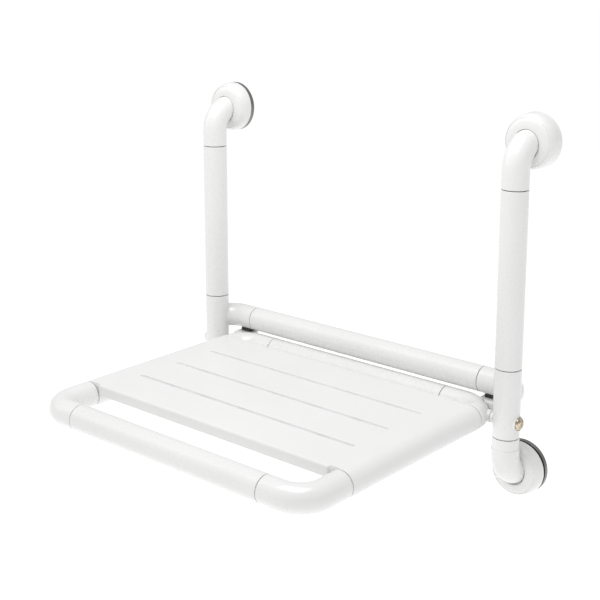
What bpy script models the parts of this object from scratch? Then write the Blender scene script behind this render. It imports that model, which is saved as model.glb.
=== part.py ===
"""Wall-mounted folding shower seat, modelled in metres with +Z up.

Two nylon-clad posts stand on the wall, joined low down by a crossbar. A nylon-clad seat frame with a
moulded seat panel hangs between them on two pivot bolts, and folds up until its deck meets the crossbar.
X runs along the wall, -Y points away from the wall into the room. The origin is on the wall face, midway
between the posts, at the height of the two lower wall flanges.
"""

import math

import bmesh
import bpy
from mathutils import Matrix, Vector

# ------------------------------------------------------------------ driving dimensions
GAP = 0.0003            # air left between touching pieces
SEAM = 0.0005           # open joint between two nylon mouldings

NYLON_R = 0.0175        # outside of every nylon sleeve, elbow and tee
NYLON_BORE = 0.0130     # their bore
STEEL_R = 0.0125        # outside of the steel tube inside them
STEEL_BORE = 0.0110
BEND_R = 0.033          # centre-line radius of every elbow

POST_X = 0.258          # post axis, each side of the middle
POST_Y = -0.048         # post axis in front of the wall
FLANGE_RISE = 0.432     # from the lower to the upper wall flange
WALL_ELBOW_LEG = 0.055  # flange centre to the end of a wall elbow
TEE_TOP_Z = 0.147

PLATE_R = 0.036
PLATE_T = 0.006
PLATE_HOLE_R = 0.0026
SCREW_CIRCLE_R = 0.0265
SCREW_COUNT = 3
SCREW_TIP_Y = 0.0004    # where the shank is cut off, in front of the wall face
SCREW_SHANK_R = 0.0022
SCREW_HEAD = ((0.0045, 0), (0.0038, 0.0025), (0, 0.0033))   # radius, height above the plate
COVER_OUTSIDE = ((0.0360, 0), (0.0348, 0.0120), (0.0300, 0.0180), (0.0224, 0.0200))
COVER_INSIDE = ((0.0224, 0.0178), (0.0290, 0.0158), (0.0326, 0.0110), (0.0338, 0))

CROSSBAR_Y = -0.0185
CROSSBAR_Z = 0.111
CROSSBAR_HALF = 0.203   # half the length of the crossbar sleeve
BRANCH_BEND_R = CROSSBAR_Y - POST_Y
LEAD_IN = 0.001         # short straight before the branch starts to bend

SEAT_X = 0.218          # side tube axis, each side of the middle
SEAT_Z = 0.076          # axis height of the whole seat frame
SEAT_FRONT_Y = -0.398
SEAT_REAR_Y = -0.0335
FRONT_SLEEVE_HALF = 0.161
REAR_SLEEVE_HALF = 0.154
PANEL_FRONT_SEAM_Y = -0.333
PANEL_REAR_SEAM_Y = -0.0705

# The pivot, from the middle of the seat outwards along X.
BOLT_TIP_X = 0.2085
NUT_X = (0.2105, 0.2170)
PIVOT_WALL_X = (0.2190, 0.2400)     # the bush's hole through the seat tube and the rear elbow
BUSH_END_X = 0.2200
BOSS_ROOT_X = 0.2275
BOSS_FACE_X = 0.2363    # face of the rear elbow's boss, which turns against the bush
SPACER_END_X = 0.2480   # inside the saddle that is cut to the post
TEE_BOSS_FACE_X = POST_X + NYLON_R + 0.0006

PIVOT_HOLE_R = 0.0043
PIVOT_BOLT_R = 0.0040
BOLT_HEAD = ((0.0088, 0), (0.0088, 0.0012), (0.00572, 0.0041), (0, 0.0050))   # radius, height
NUT_SIDES = 6
NUT_R = 0.0074
BUSH_R = 0.0057
BUSH_HOLE_R = 0.0060
BUSH_FLANGE_R = 0.0075
BUSH_FLANGE_T = 0.0009
BOSS_R = 0.0080
TEE_BOSS_R = 0.0105

# The stops: low and high corner of the right-hand pad, and of the lug that meets it.
STOP_CORNERS = ((0.2110, -0.0265, 0.0905), (0.2280, -0.0125, 0.0955))
LUG_CORNERS = ((0.2050, -0.0385, 0.0640), (0.2332, -0.0120, 0.0902))

DECK_TOP_Z = SEAT_Z + NYLON_R
DECK_SKIN = 0.004
DECK_DEPTH = 0.015
DECK_RIB = 0.003
DECK_LIP_Y = -0.3345
DECK_REAR_Y = -0.0675
DECK_LIP_HALF = 0.1995
SLOT_WIDTH = 0.005
SLOT_HALF = 0.186
SLOT_YS = (-0.2700, -0.2020, -0.1355)
SLOT_PAST = 0.0005      # how far a slot runs below the deck's skin, into the ribs that cross it
POCKET_HALF = 0.196
POCKET_COLUMNS = 6
POCKET_ROW_YS = (-0.3315, -0.2360, -0.1690, -0.1030, -0.0705)
PANEL_SCREW_YS = (-0.290, -0.200, -0.110)
PANEL_SCREW_HOLE_R = 0.0023
PANEL_RECESS_R = 0.0043
PANEL_RECESS_DEPTH = 0.0029
PANEL_SCREW_OUTLINE = ((0, 0.0006), (0.0034, 0.0008), (0.0037, 0.0024), (0.0020, 0.0026), (0.0020, 0.0085),
                       (0, 0.0090))

ROUND_SIDES = 12        # facets round a nylon tube
CORE_SIDES = 8          # facets round a steel tube
SMALL_SIDES = 8         # facets round a screw or its hole
BEND_STEPS = 4          # facets along a 90 degree bend
FLANGE_SIDES = 20
SADDLE_SIDES = 32
CUTTER_TWIST = math.radians(7)
PAST = 0.01             # how far a cutter runs past the face that it goes through

QUARTER = math.pi / 2
X = Vector((1, 0, 0))
Y = Vector((0, 1, 0))
Z = Vector((0, 0, 1))
PIVOT = Vector((0, POST_Y, SEAT_Z))
SIDES = (("left", -1), ("right", 1))
LEVELS = (("lower", 0.0, 1), ("upper", FLANGE_RISE, -1))


# ------------------------------------------------------------------ modelling helpers
def clear_scene():
    for obj in list(bpy.data.objects):
        bpy.data.objects.remove(obj)


def make_material(name, colour, roughness, metallic):
    material = bpy.data.materials.new(name)
    material.use_nodes = True
    shader = material.node_tree.nodes["Principled BSDF"]
    shader.inputs["Base Color"].default_value = (*colour, 1.0)
    shader.inputs["Roughness"].default_value = roughness
    shader.inputs["Metallic"].default_value = metallic
    return material


def finish_mesh(bm, name, finish, origin=Vector((0, 0, 0))):
    """Turns a bmesh in world coordinates into an object whose origin is at the given point."""
    bmesh.ops.recalc_face_normals(bm, faces=bm.faces)
    if bm.calc_volume(signed=True) < 0:
        bmesh.ops.reverse_faces(bm, faces=bm.faces)
    bm.transform(Matrix.Translation(-origin))
    mesh = bpy.data.meshes.new(name)
    bm.to_mesh(mesh)
    bm.free()
    mesh.shade_smooth()
    mesh.set_sharp_from_angle(angle=math.radians(40))
    obj = bpy.data.objects.new(name, mesh)
    obj.location = origin
    mesh.materials.append(make_material(name + "_finish", *finish))
    bpy.context.collection.objects.link(obj)
    return obj


def facing(point, axis):
    """Matrix that puts a shape drawn on +Z at a point, looking along an axis."""
    return Matrix.Translation(point) @ axis.to_track_quat("Z", "Y").to_matrix().to_4x4()


def add_ring(bm, outer, inner, place, sides):
    bmesh.ops.create_circle(bm, cap_ends=inner == 0, segments=sides, radius=outer, matrix=place)
    if inner:
        bmesh.ops.create_circle(bm, cap_ends=False, segments=sides, radius=inner, matrix=place)
        bmesh.ops.bridge_loops(bm, edges=bm.edges[:])
    return bm.faces[:]


def tube(name, finish, start, heading, stretches, outer=NYLON_R, inner=NYLON_BORE,
         sides=ROUND_SIDES, steps=BEND_STEPS, origin=Vector((0, 0, 0))):
    """Runs a ring along straight stretches (a length) and bends (angle, axis it turns about, radius)."""
    bm = bmesh.new()
    end_faces = add_ring(bm, outer, inner, facing(start, heading), sides)
    here, ahead = start.copy(), heading.copy()
    for number, stretch in enumerate(stretches):
        if isinstance(stretch, tuple):
            angle, axis, radius = stretch
            centre = here + axis.cross(ahead) * radius
            made = bmesh.ops.spin(bm, geom=end_faces, cent=centre, axis=axis, angle=angle,
                                  steps=steps)["geom_last"]
            turn = Matrix.Rotation(angle, 3, axis)
            here = centre + turn @ (here - centre)
            ahead = turn @ ahead
        else:
            made = bmesh.ops.extrude_face_region(bm, geom=end_faces)["geom"]
            moved = [part for part in made if isinstance(part, bmesh.types.BMVert)]
            bmesh.ops.translate(bm, verts=moved, vec=ahead * stretch)
            here = here + ahead * stretch
        if number > 0:
            bmesh.ops.delete(bm, geom=end_faces, context="FACES")
        end_faces = [part for part in made if isinstance(part, bmesh.types.BMFace)]
    return finish_mesh(bm, name, finish, origin)


def raised(outline, height):
    return tuple((radius, level + height) for radius, level in outline)


def turned(name, finish, outline, point, axis, sides=ROUND_SIDES, origin=Vector((0, 0, 0))):
    """Turns an outline of (radius, height) points about an axis; the outline closes itself."""
    bm = bmesh.new()
    ring = [bm.verts.new((radius, 0, height)) for radius, height in outline]
    edges = [bm.edges.new((a, b)) for a, b in zip(ring, ring[1:] + ring[:1])]
    bmesh.ops.spin(bm, geom=ring + edges, cent=(0, 0, 0), axis=(0, 0, 1), angle=math.tau,
                   steps=sides, use_merge=True)
    bmesh.ops.remove_doubles(bm, verts=bm.verts, dist=0.00001)
    flat = [edge for edge in bm.edges if not edge.link_faces]
    bmesh.ops.delete(bm, geom=flat, context="EDGES")
    bm.transform(facing(point, axis))
    return finish_mesh(bm, name, finish, origin)


def rod(name, finish, point, axis, radius, length, sides=ROUND_SIDES, origin=Vector((0, 0, 0))):
    """Round bar; a cutter is twisted a little so that its edges never line up with those it cuts."""
    bm = bmesh.new()
    place = facing(point + axis * (length / 2), axis)
    if finish is GUIDE:
        place = place @ Matrix.Rotation(CUTTER_TWIST, 4, "Z")
    bmesh.ops.create_cone(bm, cap_ends=True, segments=sides, radius1=radius, radius2=radius,
                          depth=length, matrix=place)
    return finish_mesh(bm, name, finish, origin)


def boxes(name, finish, corner_pairs, origin=Vector((0, 0, 0))):
    bm = bmesh.new()
    for low, high in corner_pairs:
        low, high = Vector(low), Vector(high)
        size = high - low
        place = Matrix.Translation((low + high) / 2) @ Matrix.Diagonal((*size, 1))
        bmesh.ops.create_cube(bm, size=1, matrix=place)
    return finish_mesh(bm, name, finish, origin)


def combine(target, other, operation):
    """Joins or cuts the target with another object, which is then only a guide."""
    other.hide_render = True
    other.display_type = "WIRE"
    modifier = target.modifiers.new(other.name, "BOOLEAN")
    modifier.operation = operation
    modifier.solver = "EXACT"
    modifier.object = other


def cut(target, *cutters):
    for cutter in cutters:
        combine(target, cutter, "DIFFERENCE")


def join(target, *others):
    for other in others:
        combine(target, other, "UNION")


# ------------------------------------------------------------------ finishes: colour, roughness, metallic
WHITE_NYLON = ((0.86, 0.86, 0.85), 0.28, 0.0)
PANEL_NYLON = ((0.85, 0.85, 0.84), 0.36, 0.0)
GREY_NYLON = ((0.55, 0.55, 0.54), 0.45, 0.0)
PLATE_STEEL = ((0.30, 0.29, 0.28), 0.35, 1.0)
TUBE_STEEL = ((0.50, 0.50, 0.49), 0.40, 1.0)
BOLT_STEEL = ((0.72, 0.69, 0.64), 0.15, 1.0)
SCREW_STEEL = ((0.60, 0.60, 0.59), 0.30, 1.0)
RUBBER = ((0.03, 0.03, 0.03), 0.60, 0.0)
GUIDE = ((0.2, 0.2, 0.8), 0.5, 0.0)


# ------------------------------------------------------------------ wall flanges
def wall_plate(tag, x, z):
    plate = rod("wall_plate_" + tag, PLATE_STEEL, Vector((x, 0, z)), -Y, PLATE_R, PLATE_T,
                sides=FLANGE_SIDES)
    for number, point in enumerate(screw_points(x, z)):
        cut(plate, rod(f"hole_plate_{tag}_{number}", GUIDE, point + Y * PAST, -Y, PLATE_HOLE_R,
                       PLATE_T + 2 * PAST, sides=SMALL_SIDES))


def screw_points(x, z):
    for number in range(SCREW_COUNT):
        angle = math.pi / 2 + math.tau * number / SCREW_COUNT
        yield Vector((x + SCREW_CIRCLE_R * math.cos(angle), 0, z + SCREW_CIRCLE_R * math.sin(angle)))


def wall_screws(tag, x, z):
    """Pan-head screws through the plate; the length that goes into the wall is left off."""
    shank = ((0, SCREW_TIP_Y), (SCREW_SHANK_R, SCREW_TIP_Y), (SCREW_SHANK_R, PLATE_T + GAP))
    outline = shank + raised(SCREW_HEAD, PLATE_T + GAP)
    for number, point in enumerate(screw_points(x, z), start=1):
        turned(f"wall_screw_{tag}_{number}", SCREW_STEEL, outline, point, -Y, sides=SMALL_SIDES)


def flange_cover(tag, x, z):
    """Thin nylon bell over the plate, open towards the wall and round the elbow."""
    outline = raised(COVER_OUTSIDE + COVER_INSIDE, PLATE_T + GAP)
    turned("flange_cover_" + tag, WHITE_NYLON, outline, Vector((x, 0, z)), -Y, sides=FLANGE_SIDES)


def wall_elbow(tag, x, z, up):
    """Nylon elbow from the plate round to the post. up is +1 for a lower elbow, -1 for an upper one."""
    start = Vector((x, -(PLATE_T + GAP), z))
    to_bend = -POST_Y - BEND_R - PLATE_T - GAP
    to_seam = WALL_ELBOW_LEG - BEND_R - SEAM / 2
    tube("wall_elbow_" + tag, WHITE_NYLON, start, -Y, (to_bend, (QUARTER, -X * up, BEND_R), to_seam))


# ------------------------------------------------------------------ posts and crossbar
def pivot_cutter(name, side, low_x, high_x, radius):
    start = Vector((side * low_x, POST_Y, SEAT_Z))
    return rod(name, GUIDE, start, X * side, radius, high_x - low_x)


def post_core(tag, side):
    """One steel tube, bent at both ends to stand on the two plates."""
    x = side * POST_X
    start = Vector((x, -(PLATE_T + GAP), 0))
    to_bend = -POST_Y - BEND_R - PLATE_T - GAP
    rise = FLANGE_RISE - 2 * BEND_R
    bend = (QUARTER, -X, BEND_R)
    core = tube("post_core_" + tag, TUBE_STEEL, start, -Y, (to_bend, bend, rise, bend, to_bend),
                outer=STEEL_R, inner=STEEL_BORE, sides=CORE_SIDES)
    cut(core, pivot_cutter("hole_post_core_" + tag, side, POST_X - NYLON_R, POST_X + NYLON_R,
                           PIVOT_HOLE_R))


def post_sleeve(tag, side):
    low = TEE_TOP_Z + SEAM / 2
    high = FLANGE_RISE - WALL_ELBOW_LEG - SEAM / 2
    tube("post_sleeve_" + tag, WHITE_NYLON, Vector((side * POST_X, POST_Y, low)), Z, (high - low,))


def branch_run(name, side, outer, tip_x):
    """Solid rod that leaves the post towards the wall and bends to run along it, up to tip_x."""
    start = Vector((side * POST_X, POST_Y - LEAD_IN, CROSSBAR_Z))
    runs = (LEAD_IN, (QUARTER, Z * side, BRANCH_BEND_R), POST_X - BRANCH_BEND_R - tip_x)
    return tube(name, GUIDE, start, Y, runs, outer=outer, inner=0)


def post_tee(tag, side):
    """Nylon fitting with the post's bore, the branch to the crossbar and the pivot's two bosses."""
    x = side * POST_X
    low = WALL_ELBOW_LEG + SEAM / 2
    high = TEE_TOP_Z - SEAM / 2
    tee = rod("post_tee_" + tag, WHITE_NYLON, Vector((x, POST_Y, low)), Z, NYLON_R, high - low)
    tip_x = CROSSBAR_HALF + SEAM / 2
    branch = branch_run("join_branch_" + tag, side, NYLON_R, tip_x)
    pivot = Vector((x, POST_Y, SEAT_Z))
    boss = rod("join_boss_" + tag, GUIDE, pivot, X * side, TEE_BOSS_R, TEE_BOSS_FACE_X - POST_X, sides=16)
    join(tee, branch, boss)
    bore = rod("bore_tee_" + tag, GUIDE, Vector((x, POST_Y, low - PAST)), Z, NYLON_BORE,
               high - low + 2 * PAST)
    branch_bore = branch_run("bore_branch_" + tag, side, NYLON_BORE, tip_x - PAST)
    cut(tee, bore, branch_bore, pivot_cutter("hole_tee_" + tag, side, POST_X - NYLON_R - PAST,
                                             TEE_BOSS_FACE_X + PAST, PIVOT_HOLE_R))


def crossbar():
    length = 2 * CROSSBAR_HALF - SEAM
    start = Vector((-length / 2, CROSSBAR_Y, CROSSBAR_Z))
    tube("crossbar_sleeve", WHITE_NYLON, start, X, (length,))
    bend = (QUARTER, -Z, BRANCH_BEND_R)
    start = Vector((-POST_X, POST_Y - LEAD_IN, CROSSBAR_Z))
    runs = (LEAD_IN, bend, 2 * (POST_X - BRANCH_BEND_R), bend, LEAD_IN)
    core = tube("crossbar_core", TUBE_STEEL, start, Y, runs, outer=STEEL_R, inner=STEEL_BORE,
                sides=CORE_SIDES)
    for tag, side in SIDES:
        below = Vector((side * POST_X, POST_Y, CROSSBAR_Z - STEEL_R - PAST))
        cut(core, rod("saddle_core_" + tag, GUIDE, below, Z, STEEL_R + GAP, 2 * (STEEL_R + PAST), sides=16))


# ------------------------------------------------------------------ pivots and stops
def pivot(tag, side):
    """Bolt through the post, bush in the seat's rear elbow, spacer between them, nut inside the seat tube."""
    along = X * side
    head_x = TEE_BOSS_FACE_X + GAP
    shank = ((0, BOLT_TIP_X), (PIVOT_BOLT_R, BOLT_TIP_X), (PIVOT_BOLT_R, head_x))
    turned("pivot_bolt_" + tag, BOLT_STEEL, shank + raised(BOLT_HEAD, head_x), PIVOT, along)

    nut_hole = PIVOT_HOLE_R / math.cos(math.pi / NUT_SIDES)
    nut_low, nut_high = NUT_X
    nut = ((nut_hole, nut_low), (NUT_R, nut_low), (NUT_R, nut_high), (nut_hole, nut_high))
    turned("pivot_nut_" + tag, BOLT_STEEL, nut, PIVOT, along, sides=NUT_SIDES)

    flange_low = BOSS_FACE_X + GAP
    flange_high = flange_low + BUSH_FLANGE_T
    bush = ((PIVOT_HOLE_R, BUSH_END_X), (BUSH_R, BUSH_END_X), (BUSH_R, flange_low),
            (BUSH_FLANGE_R, flange_low), (BUSH_FLANGE_R, flange_high), (PIVOT_HOLE_R, flange_high))
    turned("pivot_bush_" + tag, GREY_NYLON, bush, PIVOT, along)

    spacer_x = flange_high + GAP
    spacer = turned("pivot_spacer_" + tag, WHITE_NYLON,
                    ((PIVOT_HOLE_R, spacer_x), (BOSS_R, spacer_x), (BOSS_R, SPACER_END_X),
                     (PIVOT_HOLE_R, SPACER_END_X)), PIVOT, along)
    below = Vector((side * POST_X, POST_Y, SEAT_Z - BOSS_R - PAST))
    cut(spacer, rod("saddle_spacer_" + tag, GUIDE, below, Z, NYLON_R + GAP, 2 * (BOSS_R + PAST),
                    sides=SADDLE_SIDES))


def seat_stop(tag, side):
    """Rubber pad under the tee's branch that the seat's lug presses up against."""
    corners = [Vector((side * x, y, z)) for x, y, z in STOP_CORNERS]
    stop = boxes("seat_stop_" + tag, RUBBER, [corners])
    start = corners[0] - X * side * PAST
    length = abs(corners[1].x - corners[0].x) + 2 * PAST
    cut(stop, rod("saddle_stop_" + tag, GUIDE, Vector((start.x, CROSSBAR_Y, CROSSBAR_Z)), X * side,
                  NYLON_R + GAP, length, sides=SADDLE_SIDES))


# ------------------------------------------------------------------ seat frame
def seat_core():
    """Steel tube bent to a rectangle, its two ends meeting in the middle of the rear bar."""
    bend = (QUARTER, Z, BEND_R)
    half_width = SEAT_X - BEND_R
    length = SEAT_REAR_Y - SEAT_FRONT_Y - 2 * BEND_R
    start = Vector((-SEAM, SEAT_REAR_Y, SEAT_Z))
    runs = (half_width - SEAM, bend, length, bend, 2 * half_width, bend, length, bend, half_width - SEAM)
    core = tube("seat_core", TUBE_STEEL, start, -X, runs, outer=STEEL_R, inner=STEEL_BORE,
                sides=CORE_SIDES, origin=PIVOT)
    for tag, side in SIDES:
        cut(core, pivot_cutter("hole_seat_core_" + tag, side, *PIVOT_WALL_X, BUSH_HOLE_R))
        for number, y in enumerate(PANEL_SCREW_YS):
            below = Vector((side * SEAT_X, y, SEAT_Z - STEEL_R - PAST))
            cut(core, rod(f"hole_core_{tag}_{number}", GUIDE, below, Z, PANEL_SCREW_HOLE_R, STEEL_R + PAST,
                          sides=SMALL_SIDES))


def seat_sleeves():
    for name, half, y in (("front_bar_sleeve", FRONT_SLEEVE_HALF, SEAT_FRONT_Y),
                          ("rear_bar_sleeve", REAR_SLEEVE_HALF, SEAT_REAR_Y)):
        length = 2 * half - SEAM
        tube(name, WHITE_NYLON, Vector((-length / 2, y, SEAT_Z)), X, (length,), origin=PIVOT)


def seat_elbow(name, finish, side, bar_half, bar_y, seam_y, outer, inner, overrun=0.0):
    """Elbow of the seat frame, from its seam on a bar to its seam on the side of the panel."""
    back = 1 if bar_y > seam_y else -1
    start = Vector((side * (bar_half + SEAM / 2 - overrun), bar_y, SEAT_Z))
    to_bend = SEAT_X - BEND_R - bar_half - SEAM / 2 + overrun
    to_seam = abs(bar_y - seam_y) - BEND_R - SEAM / 2 + overrun
    turn = (QUARTER, Z * (-side * back), BEND_R)
    return tube(name, finish, start, X * side, (to_bend, turn, to_seam), outer=outer, inner=inner,
                origin=PIVOT)


def seat_elbows():
    for tag, side in SIDES:
        seat_elbow("front_elbow_" + tag, WHITE_NYLON, side, FRONT_SLEEVE_HALF, SEAT_FRONT_Y,
                   PANEL_FRONT_SEAM_Y, NYLON_R, NYLON_BORE)
        rear_place = (side, REAR_SLEEVE_HALF, SEAT_REAR_Y, PANEL_REAR_SEAM_Y)
        rear = seat_elbow("rear_elbow_" + tag, WHITE_NYLON, *rear_place, NYLON_R, 0)
        boss_start = Vector((side * BOSS_ROOT_X, POST_Y, SEAT_Z))
        join(rear, rod("join_rear_boss_" + tag, GUIDE, boss_start, X * side, BOSS_R,
                       BOSS_FACE_X - BOSS_ROOT_X))
        cut(rear, seat_elbow("bore_rear_elbow_" + tag, GUIDE, *rear_place, NYLON_BORE, 0, PAST),
            pivot_cutter("hole_rear_elbow_" + tag, side, *PIVOT_WALL_X, BUSH_HOLE_R))
        lug = boxes("stop_lug_" + tag, WHITE_NYLON, [[Vector((side * x, y, z)) for x, y, z in LUG_CORNERS]],
                    origin=PIVOT)
        cut(lug, seat_elbow("saddle_lug_" + tag, GUIDE, *rear_place, NYLON_R + GAP, 0))


# ------------------------------------------------------------------ seat panel
def seat_panel():
    """One moulding: a ribbed deck with a front lip, and a sleeve along each side that holds the tube."""
    seam_front = PANEL_FRONT_SEAM_Y + SEAM / 2
    seam_rear = PANEL_REAR_SEAM_Y - SEAM / 2
    bottom = DECK_TOP_Z - DECK_DEPTH
    panel = boxes("seat_panel", PANEL_NYLON,
                  [((-SEAT_X, seam_front, bottom), (SEAT_X, seam_rear, DECK_TOP_Z))], origin=PIVOT)
    tongue = boxes("join_deck_ends", GUIDE,
                   [((-DECK_LIP_HALF, DECK_LIP_Y, bottom), (DECK_LIP_HALF, DECK_REAR_Y, DECK_TOP_Z))])
    join(panel, tongue)
    for tag, side in SIDES:
        start = Vector((side * SEAT_X, seam_front, SEAT_Z))
        join(panel, rod("join_side_" + tag, GUIDE, start, Y, NYLON_R, seam_rear - seam_front, sides=16))
    for tag, side in SIDES:
        start = Vector((side * SEAT_X, seam_front - PAST, SEAT_Z))
        cut(panel, rod("bore_side_" + tag, GUIDE, start, Y, NYLON_BORE, seam_rear - seam_front + 2 * PAST))
    column = (2 * POCKET_HALF + DECK_RIB) / POCKET_COLUMNS
    pockets = []
    for front_y, rear_y in zip(POCKET_ROW_YS, POCKET_ROW_YS[1:]):
        for number in range(POCKET_COLUMNS):
            low_x = -POCKET_HALF + number * column
            pockets.append(((low_x, front_y, bottom - PAST),
                            (low_x + column - DECK_RIB, rear_y - DECK_RIB, DECK_TOP_Z - DECK_SKIN)))
    cut(panel, boxes("cut_pockets", GUIDE, pockets))
    slots = [((-SLOT_HALF, y - SLOT_WIDTH / 2, DECK_TOP_Z - DECK_SKIN - SLOT_PAST),
              (SLOT_HALF, y + SLOT_WIDTH / 2, DECK_TOP_Z + PAST)) for y in SLOT_YS]
    cut(panel, boxes("cut_slots", GUIDE, slots))
    panel_screws(panel)


def panel_screws(panel):
    """Screws up through the underside of the side sleeves into the steel tube."""
    for tag, side in SIDES:
        for number, y in enumerate(PANEL_SCREW_YS, start=1):
            point = Vector((side * SEAT_X, y, SEAT_Z - NYLON_R))
            below = point - Z * PAST
            cut(panel, rod(f"hole_panel_{tag}_{number}", GUIDE, below, Z, PANEL_SCREW_HOLE_R, NYLON_R,
                           sides=SMALL_SIDES),
                rod(f"recess_panel_{tag}_{number}", GUIDE, below, Z, PANEL_RECESS_R,
                    PAST + PANEL_RECESS_DEPTH, sides=SMALL_SIDES))
            turned(f"panel_screw_{tag}_{number}", SCREW_STEEL, PANEL_SCREW_OUTLINE, point, Z,
                   sides=SMALL_SIDES, origin=PIVOT)


# ------------------------------------------------------------------ assembly
clear_scene()
for side_tag, side_sign in SIDES:
    for level_tag, level_z, up_sign in LEVELS:
        place_tag = level_tag + "_" + side_tag
        wall_plate(place_tag, side_sign * POST_X, level_z)
        wall_screws(place_tag, side_sign * POST_X, level_z)
        flange_cover(place_tag, side_sign * POST_X, level_z)
        wall_elbow(place_tag, side_sign * POST_X, level_z, up_sign)
    post_core(side_tag, side_sign)
    post_sleeve(side_tag, side_sign)
    post_tee(side_tag, side_sign)
    pivot(side_tag, side_sign)
    seat_stop(side_tag, side_sign)
crossbar()
seat_core()
seat_sleeves()
seat_elbows()
seat_panel()
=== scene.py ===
"""Wall-mounted folding shower seat: smooth mouldings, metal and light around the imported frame."""

import math

import bmesh
import bpy
from mathutils import Matrix, Vector


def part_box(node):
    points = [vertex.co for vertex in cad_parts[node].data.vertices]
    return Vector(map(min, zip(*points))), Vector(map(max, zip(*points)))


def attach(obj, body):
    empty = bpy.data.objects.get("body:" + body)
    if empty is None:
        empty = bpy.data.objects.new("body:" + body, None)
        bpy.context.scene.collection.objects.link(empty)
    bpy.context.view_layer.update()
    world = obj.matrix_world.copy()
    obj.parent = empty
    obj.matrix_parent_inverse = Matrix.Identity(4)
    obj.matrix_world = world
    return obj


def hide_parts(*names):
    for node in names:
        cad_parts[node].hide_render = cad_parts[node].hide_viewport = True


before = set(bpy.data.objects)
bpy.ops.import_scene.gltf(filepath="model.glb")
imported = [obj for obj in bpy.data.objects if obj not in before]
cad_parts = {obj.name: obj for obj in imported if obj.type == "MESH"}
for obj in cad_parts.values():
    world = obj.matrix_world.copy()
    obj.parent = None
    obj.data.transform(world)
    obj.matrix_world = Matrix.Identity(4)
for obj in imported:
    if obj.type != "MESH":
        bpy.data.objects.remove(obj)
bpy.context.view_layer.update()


# ---------------------------------------------------------------------------------- wall plates
# Four stamped stainless discs, 6 mm thick and 72 mm across, which carry the whole seat.
# Each lies flat on the wall with its rim broken, and its face is turned; the fine rings this leaves are not drawn,
# only a fine grain.
X, Y, Z = Vector((1, 0, 0)), Vector((0, 1, 0)), Vector((0, 0, 1))
MIRROR = Matrix.Diagonal((-1, 1, 1, 1))
FLANGES = ("lower_right", "upper_right", "lower_left", "upper_left")
SCREW_HOLE = 0.0026
PLATE_RIM, HIDDEN_RIM = 0.0007, 0.0349
SMOOTH_ANGLE = math.radians(32)
CUTTER_TWIST = 0.037


def middle(node):
    low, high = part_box(node)
    return (low + high) / 2


def straight(point, axis):
    """Path that runs straight from a point along an axis."""
    place = Matrix.Translation(point) @ axis.to_track_quat("Z", "Y").to_matrix().to_4x4()
    return lambda distance: place @ Matrix.Translation((0, 0, distance))


def rounded(outline, steps=4):
    """Rounds the corners of a closed outline of (radius, distance, size of the rounding) points."""
    smooth = []
    for number, (radius, distance, size) in enumerate(outline):
        corner = Vector((radius, distance))
        before = Vector(outline[number - 1][:2])
        after = Vector(outline[(number + 1) % len(outline)][:2])
        enter = corner + (before - corner).normalized() * size
        leave = corner + (after - corner).normalized() * size
        for step in range(steps + 1 if size else 1):
            t = step / steps
            smooth.append(tuple(enter * (1 - t) ** 2 + corner * 2 * t * (1 - t) + leave * t * t))
    return smooth


def solid(name, points, faces):
    """Closed mesh object from points and faces, with its faces turned outwards."""
    bm = bmesh.new()
    corners = [bm.verts.new(point) for point in points]
    for face in faces:
        bm.faces.new([corners[number] for number in face])
    bmesh.ops.remove_doubles(bm, verts=bm.verts, dist=1e-6)
    bmesh.ops.dissolve_degenerate(bm, edges=bm.edges, dist=1e-6)
    bmesh.ops.recalc_face_normals(bm, faces=bm.faces)
    if bm.calc_volume(signed=True) < 0:
        bmesh.ops.reverse_faces(bm, faces=bm.faces)
    mesh = bpy.data.meshes.new(name)
    bm.to_mesh(mesh)
    bm.free()
    made = bpy.data.objects.new(name, mesh)
    bpy.context.collection.objects.link(made)
    return made


def spun(name, outline, path, sides=64, twist=0.0):
    """Solid whose closed outline of (radius, distance) points is turned about a straight or bent path.
    A cutter is twisted a little, so that its edges never line up with those it cuts."""
    points, faces, count = [], [], len(outline)
    for radius, distance in outline:
        place = path(distance)
        for number in range(sides):
            angle = math.tau * number / sides + twist
            points.append(place @ Vector((radius * math.cos(angle), radius * math.sin(angle), 0)))
    for ring in range(count):
        following = (ring + 1) % count
        if outline[ring][0] == outline[following][0] == 0:
            continue
        for number in range(sides):
            beside = (number + 1) % sides
            faces.append((ring * sides + number, ring * sides + beside,
                          following * sides + beside, following * sides + number))
    return solid(name, points, faces)


def shaped(target, joined=(), removed=()):
    """Joins solids to the target, cuts others out of it, and clears them away."""
    for others, operation in ((joined, "UNION"), (removed, "DIFFERENCE")):
        for other in others:
            step = target.modifiers.new(other.name, "BOOLEAN")
            step.operation, step.solver, step.object = operation, "EXACT", other
    ready = target.evaluated_get(bpy.context.evaluated_depsgraph_get())
    mesh = bpy.data.meshes.new_from_object(ready)
    target.modifiers.clear()
    target.data = mesh
    for other in (*joined, *removed):
        bpy.data.objects.remove(other)
    return target


def fitted(piece, material, body, slot, *nodes):
    """Finishes a piece: its shading and material, the body it rides on, and the nodes it stands for."""
    piece.data.materials.clear()
    piece.data.materials.append(material)
    piece.data.shade_smooth()
    piece.data.set_sharp_from_angle(angle=SMOOTH_ANGLE)
    piece.modifiers.new("even_shading", "WEIGHTED_NORMAL").keep_sharp = True
    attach(piece, body)
    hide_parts(*nodes)
    return piece


def copied(piece, name, change):
    """Copy of a piece's shape, moved or mirrored."""
    mesh = piece.data.copy()
    mesh.transform(change)
    if change.determinant() < 0:
        mesh.flip_normals()
    made = bpy.data.objects.new(name, mesh)
    bpy.context.collection.objects.link(made)
    return made


def fitted_pair(right, *finish):
    """Finishes a right-hand piece and its mirror image on the left; the node's name is the last word."""
    left = copied(right, right.name.replace("right", "left"), MIRROR)
    fitted(left, *finish[:-1], finish[-1].replace("right", "left"))
    fitted(right, *finish)


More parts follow.
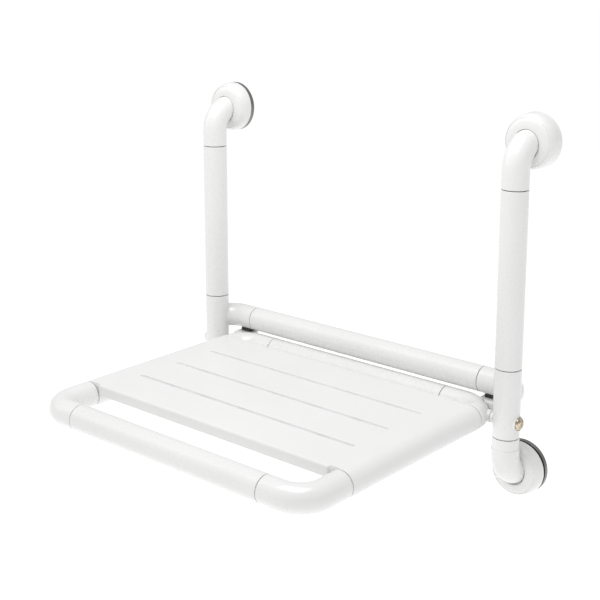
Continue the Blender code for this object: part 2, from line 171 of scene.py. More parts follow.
def new_group(name, inputs, outputs):
    """Empty node group with float inputs (name and usual value) and float outputs."""
    group = bpy.data.node_groups.new(name, "ShaderNodeTree")
    for label, value in inputs.items():
        group.interface.new_socket(label, in_out="INPUT", socket_type="NodeSocketFloat").default_value = value
    for label in outputs:
        group.interface.new_socket(label, in_out="OUTPUT", socket_type="NodeSocketFloat")
    return group, group.nodes.new("NodeGroupInput"), group.nodes.new("NodeGroupOutput")


def noise(tree, place, scale, detail, stretch=(1, 1, 1)):
    """Noise over a piece; the scale is a number of cells per metre, or a socket that gives it."""
    mapping = tree.nodes.new("ShaderNodeMapping")
    mapping.inputs["Scale"].default_value = stretch
    texture = tree.nodes.new("ShaderNodeTexNoise")
    texture.inputs["Detail"].default_value = detail
    tree.links.new(place, mapping.inputs["Vector"])
    tree.links.new(mapping.outputs["Vector"], texture.inputs["Vector"])
    if isinstance(scale, bpy.types.NodeSocket):
        tree.links.new(scale, texture.inputs["Scale"])
    else:
        texture.inputs["Scale"].default_value = scale
    return texture.outputs["Fac"]


def maths(tree, operation, *values):
    """Math node on sockets and numbers."""
    node = tree.nodes.new("ShaderNodeMath")
    node.operation = operation
    for number, value in enumerate(values):
        if isinstance(value, bpy.types.NodeSocket):
            tree.links.new(value, node.inputs[number])
        else:
            node.inputs[number].default_value = value
    return node.outputs["Value"]


def between(tree, mask, low, high):
    """Turns a mask from about 0.3 to 0.7 into values between low and high."""
    node = tree.nodes.new("ShaderNodeMapRange")
    node.inputs["From Min"].default_value, node.inputs["From Max"].default_value = 0.3, 0.7
    node.inputs["To Min"].default_value, node.inputs["To Max"].default_value = low, high
    tree.links.new(mask, node.inputs["Value"])
    return node.outputs["Result"]


def tinted(tree, mask, low, high):
    """Mixes two colours by a mask."""
    node = tree.nodes.new("ShaderNodeMix")
    node.data_type = "RGBA"
    node.inputs["A"].default_value, node.inputs["B"].default_value = (*low, 1), (*high, 1)
    tree.links.new(between(tree, mask, 0, 1), node.inputs["Factor"])
    return node.outputs["Result"]


def raised(tree, height, depth, shader):
    """Bump of a height, in metres, into the shader's normal."""
    node = tree.nodes.new("ShaderNodeBump")
    node.inputs["Distance"].default_value = depth
    tree.links.new(height, node.inputs["Height"])
    tree.links.new(node.outputs["Normal"], shader.inputs["Normal"])


# The grain of drawn or turned metal: long scratches and a faint cloudiness. On the bolt and nut the cloud swings from
# near-black to pale gold, and those patches are painted reflections.
metal_grain, given, result = new_group("metal_grain", {"Across": 900.0, "Along": 12.0, "Patches": 60.0},
                                        ("Scratches", "ToneAndPaintedReflection"))
coordinates = metal_grain.nodes.new("ShaderNodeTexCoord").outputs["Object"]
stretch = metal_grain.nodes.new("ShaderNodeCombineXYZ")
for axis in ("X", "Z"):
    metal_grain.links.new(given.outputs["Across"], stretch.inputs[axis])
metal_grain.links.new(given.outputs["Along"], stretch.inputs["Y"])
scaled = metal_grain.nodes.new("ShaderNodeVectorMath")
scaled.operation = "MULTIPLY"
metal_grain.links.new(coordinates, scaled.inputs[0])
metal_grain.links.new(stretch.outputs["Vector"], scaled.inputs[1])
metal_grain.links.new(noise(metal_grain, scaled.outputs["Vector"], 1.0, 3.0), result.inputs["Scratches"])
metal_grain.links.new(noise(metal_grain, coordinates, given.outputs["Patches"], 4.0), result.inputs["ToneAndPaintedReflection"])


def steel(name, dark, light, gloss, depth, across=900.0, along=12.0, patches=60.0):
    """Bare metal with its own colours, roughness range, and depth and spacing of scratches; the bolt's colours are
    painted reflections, and the wall plates' colours are darkened by painted shade.
    """
    material = bpy.data.materials.new(name)
    material.use_nodes = True
    tree = material.node_tree
    shader = tree.nodes["Principled BSDF"]
    shader.inputs["Metallic"].default_value = 1.0
    grain = tree.nodes.new("ShaderNodeGroup")
    grain.node_tree = metal_grain
    grain.inputs["Across"].default_value, grain.inputs["Along"].default_value = across, along
    grain.inputs["Patches"].default_value = patches
    tree.links.new(tinted(tree, grain.outputs["ToneAndPaintedReflection"], dark, light), shader.inputs["Base Color"])
    tree.links.new(between(tree, grain.outputs["Scratches"], *gloss), shader.inputs["Roughness"])
    raised(tree, grain.outputs["Scratches"], depth, shader)
    return material


# Painted shade: the plates' steel is coloured far darker than the tubes', so each rim shows as a dark arc beside its
# cover. That arc stands in for the shaded gap there.
plate_steel = steel("plate_steel", (0.20, 0.19, 0.18), (0.30, 0.29, 0.28), (0.25, 0.45), 0.00004)
low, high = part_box("wall_plate_lower_right")
size, thickness = (high.x - low.x) / 2, high.y - low.y
first_flange = Vector(((low.x + high.x) / 2, high.y, (low.z + high.z) / 2))
for tag in FLANGES:
    rim = HIDDEN_RIM if tag == "upper_right" else size
    centre = middle("wall_plate_" + tag)
    disc = spun("steel_wall_plate_" + tag,
                rounded([(0, 0, 0), (rim, 0, PLATE_RIM), (rim, thickness, PLATE_RIM), (0, thickness, 0)]),
                straight(Vector((centre.x, high.y, centre.z)), -Y), sides=96)
    holes = []
    for number in (1, 2, 3):
        screw = middle(f"wall_screw_{tag}_{number}")
        holes.append(spun("hole", [(0, -0.01), (SCREW_HOLE, -0.01), (SCREW_HOLE, 0.02), (0, 0.02)],
                          straight(Vector((screw.x, 0, screw.z)), -Y), sides=24, twist=CUTTER_TWIST))
    fitted(shaped(disc, removed=holes), plate_steel, "wall_frame", "plate_steel", "wall_plate_" + tag)


# ---------------------------------------------------------------------------------- wall screws
# Three pan-head screws in each plate, zinc-bright stainless with a cross recess.
# They are driven into the wall before the bell-shaped cover is pushed on.
SCREW_SHANK = 0.0022
HEAD_HEIGHT = 0.0033
CROSS_ARM, CROSS_WIDTH, CROSS_DEPTH = 0.0026, 0.0009, 0.0018

screw_steel = steel("screw_steel", (0.50, 0.50, 0.49), (0.66, 0.66, 0.64), (0.20, 0.38), 0.00003)


def block(name, place, size):
    """Plain block for cutting, centred on a place."""
    half = Vector(size) / 2
    points = [place @ Vector((x * half.x, y * half.y, z * half.z))
              for x in (-1, 1) for y in (-1, 1) for z in (-1, 1)]
    faces = ((0, 1, 3, 2), (4, 6, 7, 5), (0, 4, 5, 1), (2, 3, 7, 6), (0, 2, 6, 4), (1, 5, 7, 3))
    return solid(name, points, faces)


def cross_recess(path, top):
    """Two crossed blocks that cut a screwdriver's cross into a head whose top is that far along."""
    place = path(top) @ Matrix.Rotation(0.4, 4, "Z")
    depth = 2 * CROSS_DEPTH
    return [block("cross_1", place, (2 * CROSS_ARM, CROSS_WIDTH, depth)),
            block("cross_2", place, (CROSS_WIDTH, 2 * CROSS_ARM, depth))]


low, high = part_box("wall_screw_lower_right_1")
radius, length = (high.x - low.x) / 2, high.y - low.y
seat = length - HEAD_HEIGHT
path = straight(Vector(((low.x + high.x) / 2, high.y, (low.z + high.z) / 2)), -Y)
outline = rounded([(0, 0, 0), (SCREW_SHANK, 0, 0.0003), (SCREW_SHANK, seat, 0), (radius, seat, 0.0004),
                   (radius, seat + 0.0016, 0.0010), (radius * 0.6, length, 0.0012), (0, length, 0)])
screw = shaped(spun("screw", outline, path, sides=32), removed=cross_recess(path, length))
for tag in FLANGES:
    for number in (1, 2, 3):
        node = f"wall_screw_{tag}_{number}"
        move = Matrix.Translation(middle(node) - middle("wall_screw_lower_right_1"))
        fitted(copied(screw, "steel_" + node, move), screw_steel, "wall_frame", "screw_steel", node)
bpy.data.objects.remove(screw)


# ---------------------------------------------------------------------------------- steel cores
# Stainless tube of 25 mm runs inside all the nylon and takes the load: the two posts, the crossbar
# between them and the seat's bent frame. Only a hairline of it shows in the seams.
tube_steel = steel("tube_steel", (0.42, 0.42, 0.41), (0.58, 0.58, 0.57), (0.28, 0.46), 0.00003, 500.0, 30.0)
for node in ("post_core_left", "post_core_right", "crossbar_core", "seat_core"):
    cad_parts[node].data.materials.clear()
    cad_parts[node].data.materials.append(tube_steel)


# ---------------------------------------------------------------------------------- wall elbows
# Moulded nylon elbows, 35 mm thick, pushed over the post's bent ends down to the plates.
# White polyamide, dyed through: satin, with a fine mould grain and slow ripples from cooling.
NYLON_BORE = 0.0130
BEND_R = 0.033
SEAM_EDGE, SEAM_INSET = 0.0009, 0.0003
QUARTER = math.pi / 2
POST_R = (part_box("post_sleeve_left")[1].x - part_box("post_sleeve_left")[0].x) / 2

mould_skin, given, result = new_group("mould_skin", {"Grain": 2600.0, "Ripple": 90.0, "Drift": 9.0},
                                      ("Height", "Ripple", "Drift"))
coordinates = mould_skin.nodes.new("ShaderNodeTexCoord").outputs["Object"]
fine = noise(mould_skin, coordinates, given.outputs["Grain"], 2.0)
ripple = noise(mould_skin, coordinates, given.outputs["Ripple"], 2.0)
drift = noise(mould_skin, coordinates, given.outputs["Drift"], 3.0)
mould_skin.links.new(maths(mould_skin, "MULTIPLY_ADD", fine, 0.012, ripple), result.inputs["Height"])
mould_skin.links.new(ripple, result.inputs["Ripple"])
mould_skin.links.new(drift, result.inputs["Drift"])


def nylon(name, dark, light, gloss, depth, coat, grain=2600.0, ripple=90.0):
    """Moulded polyamide with its own whites, roughness range, depth of ripples and share of sheen."""
    material = bpy.data.materials.new(name)
    material.use_nodes = True
    tree = material.node_tree
    shader = tree.nodes["Principled BSDF"]
    shader.inputs["IOR"].default_value = 1.53
    shader.inputs["Coat Weight"].default_value = coat
    shader.inputs["Coat Roughness"].default_value = 0.07
    skin = tree.nodes.new("ShaderNodeGroup")
    skin.node_tree = mould_skin
    skin.inputs["Grain"].default_value, skin.inputs["Ripple"].default_value = grain, ripple
    tree.links.new(tinted(tree, skin.outputs["Drift"], dark, light), shader.inputs["Base Color"])
    tree.links.new(between(tree, skin.outputs["Ripple"], *gloss), shader.inputs["Roughness"])
    raised(tree, skin.outputs["Height"], depth, shader)
    return material


white_nylon = nylon("white_nylon", (0.765, 0.765, 0.760), (0.790, 0.790, 0.785), (0.26, 0.33), 0.000008, 0.55)


def route(start, heading, *runs):
    """Path along straight runs (a length) and bends (angle, axis it turns about, radius), and its length."""
    stages, here, reach = [], straight(start, heading)(0), 0.0
    for run in runs:
        if isinstance(run, tuple):
            angle, axis, radius = run
            centre = here.translation + axis.cross(here.to_3x3() @ Z) * radius
            length = angle * radius

            def along(t, here=here, centre=centre, axis=axis, angle=angle):
                return (Matrix.Translation(centre) @ Matrix.Rotation(angle * t, 4, axis)
                        @ Matrix.Translation(-centre) @ here)
        else:
            length = run

            def along(t, here=here, length=length):
                return here @ Matrix.Translation((0, 0, length * t))
        stages.append((reach, length, along))
        reach += length
        here = along(1.0)

    def path(distance):
        low, length, along = max((stage for stage in stages if stage[0] <= max(distance, 0)),
                                 key=lambda stage: stage[0])
        return along((distance - low) / length)
    return path, reach


def sleeve_outline(length, bore=NYLON_BORE, outer=POST_R, spacing=0.0015):
    """Closed wall of a sleeve with rounded mouths, with rings close enough together for its bends."""
    low, high = SEAM_INSET, length - SEAM_INSET
    rough = rounded([(bore, low, 0), (outer, low, SEAM_EDGE), (outer, high, SEAM_EDGE), (bore, high, 0)])
    outline = []
    for (radius, distance), (following, further) in zip(rough, rough[1:] + rough[:1]):
        steps = max(1, round(abs(further - distance) / spacing))
        outline += [(radius + (following - radius) * step / steps, distance + (further - distance) * step / steps)
                    for step in range(steps)]
    return outline


low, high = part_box("wall_elbow_lower_right")
post = middle("post_sleeve_right")
start = Vector((post.x, high.y, first_flange.z))
elbow_path, length = route(start, -Y, high.y - post.y - BEND_R, (QUARTER, -X, BEND_R), high.z - start.z - BEND_R)
elbow = spun("nylon_wall_elbow_lower_right", sleeve_outline(length), elbow_path)
post_middle = middle("post_core_right").z
turned_over = Matrix.Translation(2 * Z * post_middle) @ Matrix.Diagonal((1, 1, -1, 1))
fitted_pair(copied(elbow, "nylon_wall_elbow_upper_right", turned_over), white_nylon, "wall_frame", "white_nylon",
            "wall_elbow_upper_right")
fitted_pair(elbow, white_nylon, "wall_frame", "white_nylon", "wall_elbow_lower_right")


# ---------------------------------------------------------------------------------- post sleeves
# One straight nylon sleeve on each post, from the tee up to the upper elbow, where a hand grips.
# It is cut from an extruded tube; the faint lines this leaves along its length are not drawn.
tube_nylon = nylon("tube_nylon", (0.765, 0.765, 0.760), (0.790, 0.790, 0.785), (0.25, 0.32), 0.000008, 0.55)
low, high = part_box("post_sleeve_right")
sleeve = spun("nylon_post_sleeve_right", sleeve_outline(high.z - low.z, spacing=0.02),
              straight(Vector((post.x, post.y, low.z)), Z))
fitted_pair(sleeve, tube_nylon, "wall_frame", "white_nylon", "post_sleeve_right")


# ---------------------------------------------------------------------------------- crossbar
# A nylon sleeve joins the two tees low on the wall. It keeps the posts square and is what the
# folded seat leans on.
low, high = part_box("crossbar_sleeve")
bar_y, bar_z = middle("crossbar_sleeve").y, middle("crossbar_sleeve").z
bar = spun("nylon_crossbar_sleeve", sleeve_outline(high.x - low.x, spacing=0.02),
           straight(Vector((low.x, bar_y, bar_z)), X))
fitted(bar, tube_nylon, "wall_frame", "white_nylon", "crossbar_sleeve")


# ---------------------------------------------------------------------------------- post tees
# One moulding on each post holds the pivot and sends a branch back and round to the crossbar.
# A low round boss on its outer side takes the bolt's head.
BRANCH_LEAD, BRANCH_BORE = 0.001, 0.0128
BOSS_SIZE, BOSS_EDGE = 0.0105, 0.0008
PIVOT_HOLE = 0.0043
PAST = 0.01
pivot_z = middle("pivot_bolt_left").z

low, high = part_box("post_tee_right")
height = high.z - low.z
foot = Vector((post.x, post.y, low.z))
ends = SEAM_INSET, height - SEAM_INSET
tee = spun("nylon_post_tee_right", rounded([(0, ends[0], 0), (POST_R, ends[0], SEAM_EDGE),
                                            (POST_R, ends[1], SEAM_EDGE), (0, ends[1], 0)]),
           straight(foot, Z), sides=96)
bend = bar_y - post.y
start = Vector((post.x, post.y - BRANCH_LEAD, bar_z))
runs = (BRANCH_LEAD, (QUARTER, Z, bend), post.x - low.x - bend)
path, length = route(start, Y, *runs)
filled = [(radius, distance) for radius, distance in sleeve_outline(length) if radius > NYLON_BORE + 0.0001]
branch = spun("branch", [(0, SEAM_INSET)] + filled + [(0, length - SEAM_INSET)], path, sides=80)
pivot = Vector((post.x, post.y, pivot_z))
face = high.x - post.x
boss = spun("boss", rounded([(0, 0, 0), (BOSS_SIZE, 0, 0), (BOSS_SIZE, face, BOSS_EDGE), (0, face, 0)]),
            straight(pivot, X), sides=72)
bore = spun("bore", [(0, -PAST), (NYLON_BORE, -PAST), (NYLON_BORE, height + PAST), (0, height + PAST)],
            straight(foot, Z), sides=48, twist=CUTTER_TWIST)
path, length = route(start, Y, *runs[:2], runs[2] + PAST)
steps = [(BRANCH_BORE, length * step / 40) for step in range(41)]
branch_bore = spun("branch_bore", [(0, 0)] + steps + [(0, length)], path, sides=44, twist=CUTTER_TWIST)
hole = spun("hole", [(0, -2 * POST_R), (PIVOT_HOLE, -2 * POST_R), (PIVOT_HOLE, 2 * POST_R), (0, 2 * POST_R)],
            straight(pivot, X), sides=28, twist=CUTTER_TWIST)
shaped(tee, (branch, boss), (branch_bore, bore, hole))
fitted_pair(tee, white_nylon, "wall_frame", "white_nylon", "post_tee_right")


# ---------------------------------------------------------------------------------- flange covers
# Thin nylon bells that hide the plates and their screws. Each has a hole that fits its elbow closely
# and grips it: the lower right one has crept outwards, and the upper right one hides its plate's rim.
COVER_FIT = 0.0006
PLATE_STEP = 0.0352
COVER_PLACES = {"lower_right": (0.0035, 0.0), "upper_right": (0.0, 0.0058),
                "lower_left": (0.0, 0.0), "upper_left": (0.0, 0.0)}
low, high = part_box("flange_cover_lower_right")
mouth = (high.x - low.x) / 2
flange_axis = straight(Vector((first_flange.x, high.y, first_flange.z)), -Y)
for tag, (slide, skirt) in COVER_PLACES.items():
    outer = [(mouth, -skirt, 0.0006), (mouth - 0.0009, 0.0120, 0.0060), (0.0300, 0.0180, 0.0048),
             (0.0230, 0.0200, 0.0030), (0, 0.0202, 0)]
    inner = [(0, 0.0184, 0), (0.0230, 0.0180, 0.0030), (0.0290, 0.0158, 0.0040), (0.0326, 0.0110, 0.0045)]
    if skirt:
        inner += [(0.0336, 0.0008, 0.0002), (PLATE_STEP, 0.0006, 0.0002), (PLATE_STEP, -skirt, 0.0004)]
    else:
        inner.append((0.0338, 0, 0.0006))
    outline = rounded([(radius, distance + slide, size) for radius, distance, size in outer + inner], steps=8)
    steps = [(POST_R + COVER_FIT, 0.0015 * step) for step in range(1, 46)]
    hole = spun("hole", [(0, 0.0015)] + steps + [(0, 0.0675)], elbow_path, sides=88, twist=CUTTER_TWIST)
    bell = shaped(spun("bell", outline, flange_axis, sides=96), removed=(hole,))
    change = turned_over if "upper" in tag else Matrix.Identity(4)
    if "left" in tag:
        change = MIRROR @ change
    fitted(copied(bell, "nylon_flange_cover_" + tag, change), white_nylon, "wall_frame", "white_nylon",
           "flange_cover_" + tag)
    bpy.data.objects.remove(bell)


# ---------------------------------------------------------------------------------- seat bars and elbows
# The seat's steel frame is clad like the posts: a long front bar, a rear bar that passes under the
# crossbar, and four elbows. The rear elbows carry a boss that the pivot's bush turns in.
REAR_BOSS = 0.0080
BUSH_HOLE = 0.0060
REAR_BOSS_ROOT = 0.2275
PIVOT_WALL = (0.2190, 0.2400)

for node in ("front_bar_sleeve", "rear_bar_sleeve"):
    low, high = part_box(node)
    start = Vector((low.x, (low.y + high.y) / 2, (low.z + high.z) / 2))
    bar = spun("nylon_" + node, sleeve_outline(high.x - low.x, spacing=0.02), straight(start, X))
    fitted(bar, tube_nylon, "seat", "white_nylon", node)

seat_z = middle("front_bar_sleeve").z
rail_x = middle("panel_screw_right_1").x
for end, back in (("front", -1), ("rear", 1)):
    node = end + "_elbow_right"
    low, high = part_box(node)
    elbow_y = middle(end + "_bar_sleeve").y
    start = Vector((low.x, elbow_y, seat_z))
    bend = (QUARTER, -Z * back, BEND_R)
    legs = (rail_x - low.x - BEND_R, abs((high.y if back < 0 else low.y) - elbow_y) - BEND_R)
    path, length = route(start, X, legs[0], bend, legs[1])
    outline = sleeve_outline(length)
    if end == "front":
        elbow = spun("nylon_" + node, outline, path)
    else:
        filled = [(radius, distance) for radius, distance in outline if radius > NYLON_BORE + 0.0001]
        elbow = spun("nylon_" + node, [(0, SEAM_INSET)] + filled + [(0, length - SEAM_INSET)], path)
        pivot = Vector((0, post.y, pivot_z))
        boss = spun("boss", rounded([(0, REAR_BOSS_ROOT, 0), (REAR_BOSS, REAR_BOSS_ROOT, 0),
                                     (REAR_BOSS, high.x, 0.0006), (0, high.x, 0)]), straight(pivot, X), sides=56)
        path, length = route(start - X * PAST, X, legs[0] + PAST, bend, legs[1] + PAST)
        steps = [(NYLON_BORE, length * step / 60) for step in range(61)]
        bore = spun("bore", [(0, 0)] + steps + [(0, length)], path, sides=44, twist=CUTTER_TWIST)
        hole = spun("hole", [(0, PIVOT_WALL[0]), (BUSH_HOLE, PIVOT_WALL[0]), (BUSH_HOLE, PIVOT_WALL[1]),
                             (0, PIVOT_WALL[1])], straight(pivot, X), sides=32, twist=CUTTER_TWIST)
        shaped(elbow, (boss,), (bore, hole))
    fitted_pair(elbow, white_nylon, "seat", "white_nylon", node)


# ---------------------------------------------------------------------------------- seat panel
# One thick moulding: a flat deck with three drain slots and a turned-down lip, ribbed below, with a
# half-hidden sleeve on each side that slides over the frame before its elbows close it.
DECK_DEPTH, DECK_SKIN, RIB = 0.0150, 0.0040, 0.0030
LIP_ROUND, RAIL_INSET = 0.0035, 0.0006
LIP_Y, REAR_Y, LIP_HALF = -0.3345, -0.0675, 0.1995
SLOT_WIDTH, SLOT_HALF, SLOT_YS = 0.0050, 0.1860, (-0.2700, -0.2020, -0.1355)
SLOT_ROUND = 0.0012
POCKET_HALF, POCKET_COLUMNS = 0.1960, 6
POCKET_ROWS = (-0.3315, -0.2360, -0.1690, -0.1030, -0.0705)


def stacked(name, loops):
    """Solid that runs through a stack of loops with the same number of points each."""
    ring = len(loops[0])
    faces = [tuple(range(ring)), tuple(range((len(loops) - 1) * ring, len(loops) * ring))]
    for level in range(len(loops) - 1):
        for number in range(ring):
            beside = (number + 1) % ring
            faces.append((level * ring + number, level * ring + beside,
                          (level + 1) * ring + beside, (level + 1) * ring + number))
    return solid(name, [point for loop in loops for point in loop], faces)


def rectangles(half_a, half_b, corner, levels, place, steps=6):
    """Rounded rectangles along the place's own Z, one for each level of (inset, height)."""
    loops = []
    for inset, height in levels:
        size = corner - inset
        loops.append([place @ Vector((a * (half_a - corner) + size * math.cos(QUARTER * (first + step / steps)),
                                      b * (half_b - corner) + size * math.sin(QUARTER * (first + step / steps)),
                                      height))
                      for a, b, first in ((1, 1, 0), (-1, 1, 1), (-1, -1, 2), (1, -1, 3))
                      for step in range(steps + 1)])
    return loops


def round_over(size, height, steps=5):
    """Levels that take an edge in by a quarter round below a height."""
    return [(size * (1 - math.cos(QUARTER * step / steps)), height - size * (1 - math.sin(QUARTER * step / steps)))
            for step in range(steps + 1)]


low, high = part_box("seat_panel")
deck_top = high.z
deck_bottom = deck_top - DECK_DEPTH
seam_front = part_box("front_elbow_left")[1].y + 0.0005
seam_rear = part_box("rear_elbow_left")[0].y - 0.0005
deck_side = rail_x - 0.0002


def deck_plan(inset, height):
    """Outline of the deck, drawn in from its edges: a lip and a tail between the rails' ends."""
    wing = min(inset, SEAM_EDGE) + RAIL_INSET + 0.0001
    front, rear = LIP_Y + inset, REAR_Y - inset
    front_wing, rear_wing = seam_front + wing, seam_rear - wing
    half = [(LIP_HALF - 0.0015, front), (LIP_HALF, (front + front_wing) / 2), (LIP_HALF + 0.0012, front_wing),
            (deck_side, front_wing), (deck_side, rear_wing), (LIP_HALF + 0.0012, rear_wing),
            (LIP_HALF, (rear + rear_wing) / 2), (LIP_HALF - 0.0015, rear)]
    return [Vector((x, y, height)) for x, y in half + [(-x, y) for x, y in reversed(half)]]


panel = stacked("nylon_seat_panel", [deck_plan(inset, height) for inset, height in
                                     [(0.0006, deck_bottom), (0, deck_bottom + 0.0006)]
                                     + round_over(LIP_ROUND, deck_top)])
joined, removed = [], []
length = seam_rear - seam_front
for side in (-1, 1):
    path = straight(Vector((side * rail_x, seam_front, seat_z)), Y)
    ends = RAIL_INSET, length - RAIL_INSET
    joined.append(spun("rail", rounded([(0, ends[0], 0), (POST_R, ends[0], SEAM_EDGE),
                                        (POST_R, ends[1], SEAM_EDGE), (0, ends[1], 0)]), path, sides=96))
    removed.append(spun("rail_bore", [(0, -PAST), (NYLON_BORE, -PAST), (NYLON_BORE, length + PAST),
                                      (0, length + PAST)], path, sides=48, twist=CUTTER_TWIST))
column = (2 * POCKET_HALF + RIB) / POCKET_COLUMNS
for front, rear in zip(POCKET_ROWS, POCKET_ROWS[1:]):
    for number in range(POCKET_COLUMNS):
        left = -POCKET_HALF + number * column
        place = Matrix.Translation((left + (column - RIB) / 2, (front + rear - RIB) / 2, 0))
        roof = deck_top - DECK_SKIN
        removed.append(stacked("pocket", rectangles(
            (column - RIB) / 2, (rear - RIB - front) / 2, 0.0030,
            [(-0.0003, deck_bottom - PAST), (0, deck_bottom + 0.001), (0.0004, roof - 0.001), (0.0012, roof)],
            place, steps=3)))
slot_mouth = [(SLOT_ROUND * math.cos(QUARTER * step / 5), deck_top - SLOT_ROUND * (1 - math.sin(QUARTER * step / 5)))
              for step in range(6)]
for slot_y in SLOT_YS:
    place = Matrix.Translation((0, slot_y, 0))
    flare = [(inset - SLOT_ROUND, height) for inset, height in slot_mouth]
    levels = [(0, deck_top - DECK_SKIN - 0.0005)] + flare + [(-SLOT_ROUND, deck_top + 0.003)]
    removed.append(stacked("slot", rectangles(SLOT_HALF, SLOT_WIDTH / 2, SLOT_WIDTH / 2 - 0.00002, levels, place)))
SCREW_RECESS, RECESS_DEPTH, CORE_HOLE = 0.0043, 0.0029, 0.0023
deep = PAST + RECESS_DEPTH
for side in (-1, 1):
    for number in (1, 2, 3):
        below = Vector((side * rail_x, middle(f"panel_screw_right_{number}").y, seat_z - POST_R - PAST))
        removed.append(spun("recess", [(0, 0), (SCREW_RECESS, 0), (SCREW_RECESS, deep), (CORE_HOLE, deep),
                                       (CORE_HOLE, deep + 0.004), (0, deep + 0.004)], straight(below, Z), sides=32,
                            twist=CUTTER_TWIST))
shaped(panel, joined, removed)
panel_nylon = nylon("panel_nylon", (0.770, 0.770, 0.765), (0.790, 0.790, 0.785), (0.34, 0.42), 0.00002, 0.10, 3200.0, 60.0)
fitted(panel, panel_nylon, "seat", "panel_nylon", "seat_panel")


# ---------------------------------------------------------------------------------- panel screws
# Six short pan-head screws in recesses under the side sleeves hold the panel on the steel frame.
PANEL_HEAD = 0.0037
low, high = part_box("panel_screw_right_1")
length = high.z - low.z
path = straight(Vector((rail_x, middle("panel_screw_right_1").y, high.z)), -Z)
outline = rounded([(0, 0, 0), (0.0019, 0, 0.0004), (0.0020, length - 0.0020, 0),
                   (PANEL_HEAD, length - 0.0020, 0.0003), (PANEL_HEAD, length - 0.0008, 0.0007),
                   (0.0026, length, 0.0008), (0, length, 0)])
screw = shaped(spun("screw", outline, path, sides=32), removed=cross_recess(path, length))
for number in (1, 2, 3):
    node = f"panel_screw_right_{number}"
    move = Matrix.Translation(middle(node) - middle("panel_screw_right_1"))
    fitted_pair(copied(screw, "steel_" + node, move), screw_steel, "seat", "screw_steel", node)
bpy.data.objects.remove(screw)


# ---------------------------------------------------------------------------------- pivots
# A polished bolt passes through each post into the seat tube, where a lock nut holds it. The bolt's
# domed head sits on the tee's boss, and a nylon spacer and a flanged bush keep the seat clear.
BOLT_HEAD, SPACER_END, GAP = 0.0050, 0.2480, 0.0003
# Painted reflections: the bolt and nut's colour swings in small patches from near-black to pale gold, standing in for
# a studio mirrored in polished metal.
bolt_steel = steel("bolt_steel", (0.06, 0.04, 0.02), (0.88, 0.78, 0.60), (0.08, 0.16), 0.00001, 1500.0, 300.0, 210.0)
grey_nylon = nylon("grey_nylon", (0.50, 0.50, 0.49), (0.58, 0.58, 0.57), (0.36, 0.50), 0.00008, 0.0)
low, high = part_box("pivot_bolt_right")
tip, crown = low.x, high.x
head = crown - BOLT_HEAD
outline = rounded([(0, tip, 0), (0.0040, tip, 0.0006), (0.0040, head, 0), (0.0088, head, 0.0004),
                   (0.0088, head + 0.0014, 0.0014), (0.0058, head + 0.0042, 0.0026), (0, crown, 0)], steps=8)
path = straight(Vector((0, post.y, pivot_z)), X)
fitted_pair(spun("steel_pivot_bolt_right", outline, path), bolt_steel, "wall_frame", "bolt_steel", "pivot_bolt_right")

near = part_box("pivot_spacer_right")[0].x
spacer = spun("nylon_pivot_spacer_right", rounded([(PIVOT_HOLE, near, 0), (REAR_BOSS, near, 0.0005),
                                                   (REAR_BOSS, SPACER_END, 0), (PIVOT_HOLE, SPACER_END, 0)]),
              path, sides=56)
saddle = spun("saddle", [(0, -0.02), (POST_R + GAP, -0.02), (POST_R + GAP, 0.02), (0, 0.02)],
              straight(Vector((post.x, post.y, pivot_z)), Z), sides=96, twist=CUTTER_TWIST)
fitted_pair(shaped(spacer, removed=(saddle,)), white_nylon, "wall_frame", "white_nylon", "pivot_spacer_right")

for node, finish in (("pivot_nut", bolt_steel), ("pivot_bush", grey_nylon)):
    for side in ("left", "right"):
        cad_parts[f"{node}_{side}"].data.materials.clear()
        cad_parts[f"{node}_{side}"].data.materials.append(finish)


# ---------------------------------------------------------------------------------- seat stops
# A nylon lug on each rear elbow presses up against a rubber pad glued under the tee's branch,
# so the seat stays level under load. The pad is coloured near-black as painted shade: it stands in for the shadowed
# gap between the branch and the lug.
LUG_EDGE, PAD_EDGE = 0.0016, 0.0004


def rounded_block(name, node, edge, steps=4):
    """Block that fills a node's box, with its edges rounded."""
    low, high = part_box(node)
    half = (high - low) / 2
    levels = [(inset, -height) for inset, height in reversed(round_over(edge, half.z, steps))]
    levels += round_over(edge, half.z, steps)
    return stacked(name, rectangles(half.x, half.y, 1.5 * edge, levels, Matrix.Translation((low + high) / 2)))


low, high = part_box("stop_lug_right")
elbow_low, elbow_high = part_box("rear_elbow_right")
start = Vector((elbow_low.x, middle("rear_bar_sleeve").y, seat_z))
legs = (rail_x - elbow_low.x - BEND_R, abs(elbow_low.y - start.y) - BEND_R)
path, length = route(start, X, legs[0], (QUARTER, -Z, BEND_R), legs[1])
steps = [(POST_R + GAP, length * step / 60) for step in range(61)]
saddle = spun("saddle", [(0, 0)] + steps + [(0, length)], path, sides=96, twist=CUTTER_TWIST)
lug = shaped(rounded_block("nylon_stop_lug_right", "stop_lug_right", LUG_EDGE), removed=(saddle,))
fitted_pair(lug, white_nylon, "seat", "white_nylon", "stop_lug_right")

# Painted shade: the pad's near-black colour stands in for the shadowed gap under the tee's branch.
pad_painted_gap_shade = nylon("dark_rubber", (0.020, 0.020, 0.020), (0.035, 0.035, 0.034), (0.55, 0.70), 0.00005, 0.0)
saddle = spun("saddle", [(0, -PAST), (POST_R + GAP, -PAST), (POST_R + GAP, 4 * PAST), (0, 4 * PAST)],
              straight(Vector((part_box("seat_stop_right")[0].x, bar_y, bar_z)), X), sides=96, twist=CUTTER_TWIST)
pad = shaped(rounded_block("rubber_seat_stop_right", "seat_stop_right", PAD_EDGE), removed=(saddle,))
fitted_pair(pad, pad_painted_gap_shade, "wall_frame", "dark_rubber", "seat_stop_right")


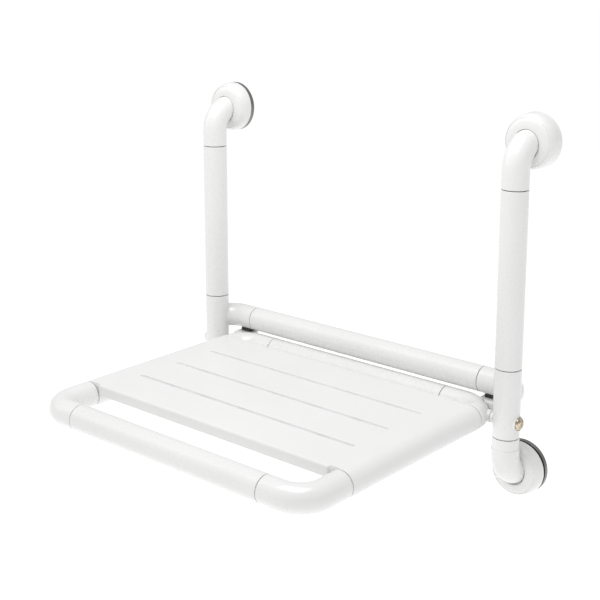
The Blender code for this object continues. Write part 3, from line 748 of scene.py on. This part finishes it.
# ---------------------------------------------------------------------------------- floor, light and camera
# A wide pale floor well below the seat, white soft boxes above and at the sides, and the camera.
FLOOR_Z = -0.45
floor = solid("floor", [(x, y, FLOOR_Z) for x, y in ((-60, -60), (60, -60), (60, 60), (-60, 60))], [(0, 1, 2, 3)])
floor_paint = bpy.data.materials.new("floor_paint")
floor_paint.use_nodes = True
paint = floor_paint.node_tree.nodes["Principled BSDF"]
paint.inputs["Base Color"].default_value = (0.88, 0.88, 0.88, 1)
paint.inputs["Roughness"].default_value = 0.9
paint.inputs["Specular IOR Level"].default_value = 0.0
paint.inputs["Emission Color"].default_value = (1, 1, 1, 1)
paint.inputs["Emission Strength"].default_value = 0.45
floor.data.materials.append(floor_paint)

world = bpy.data.worlds.new("studio")
bpy.context.scene.world = world
world.use_nodes = True
sky = world.node_tree.nodes["Background"]
sky.inputs["Color"].default_value = (1, 1, 1, 1)
sky.inputs["Strength"].default_value = 0.64


def softbox(name, place, aim, width, depth, power):
    lamp = bpy.data.lights.new(name, "AREA")
    lamp.shape, lamp.size, lamp.size_y, lamp.energy = "RECTANGLE", width, depth, power
    made = bpy.data.objects.new(name, lamp)
    made.location = place
    made.rotation_mode = "QUATERNION"
    made.rotation_quaternion = (Vector(aim) - Vector(place)).to_track_quat("-Z", "Y")
    bpy.context.collection.objects.link(made)


softbox("top_box", (0, -0.55, 1.7), (0, -0.25, 0.1), 1.3, 1.0, 16.5)
softbox("rear_strip", (-1.75, -0.95, 1.75), (-0.1, -0.4, 0.08), 0.10, 2.6, 1.6)
softbox("front_strip", (-1.95, -1.55, 1.70), (-0.1, -0.4, 0.08), 0.10, 2.6, 1.6)

CAMERA_PLACE = Vector((1.0189, -1.3298, 0.6676))
AZIMUTH, ELEVATION = math.radians(40.87), math.radians(12.18)
back = Vector((math.sin(AZIMUTH) * math.cos(ELEVATION), -math.cos(AZIMUTH) * math.cos(ELEVATION),
               math.sin(ELEVATION)))
lens = bpy.data.cameras.new("camera")
lens.sensor_width, lens.lens = 36.0, 73.29
lens.shift_y = -0.15
lens.clip_end = 200
camera = bpy.data.objects.new("camera", lens)
camera.location = CAMERA_PLACE
camera.rotation_mode = "QUATERNION"
camera.rotation_quaternion = (-back).to_track_quat("-Z", "Y")
bpy.context.collection.objects.link(camera)
bpy.context.scene.camera = camera
bpy.context.scene.view_settings.view_transform = "Standard"
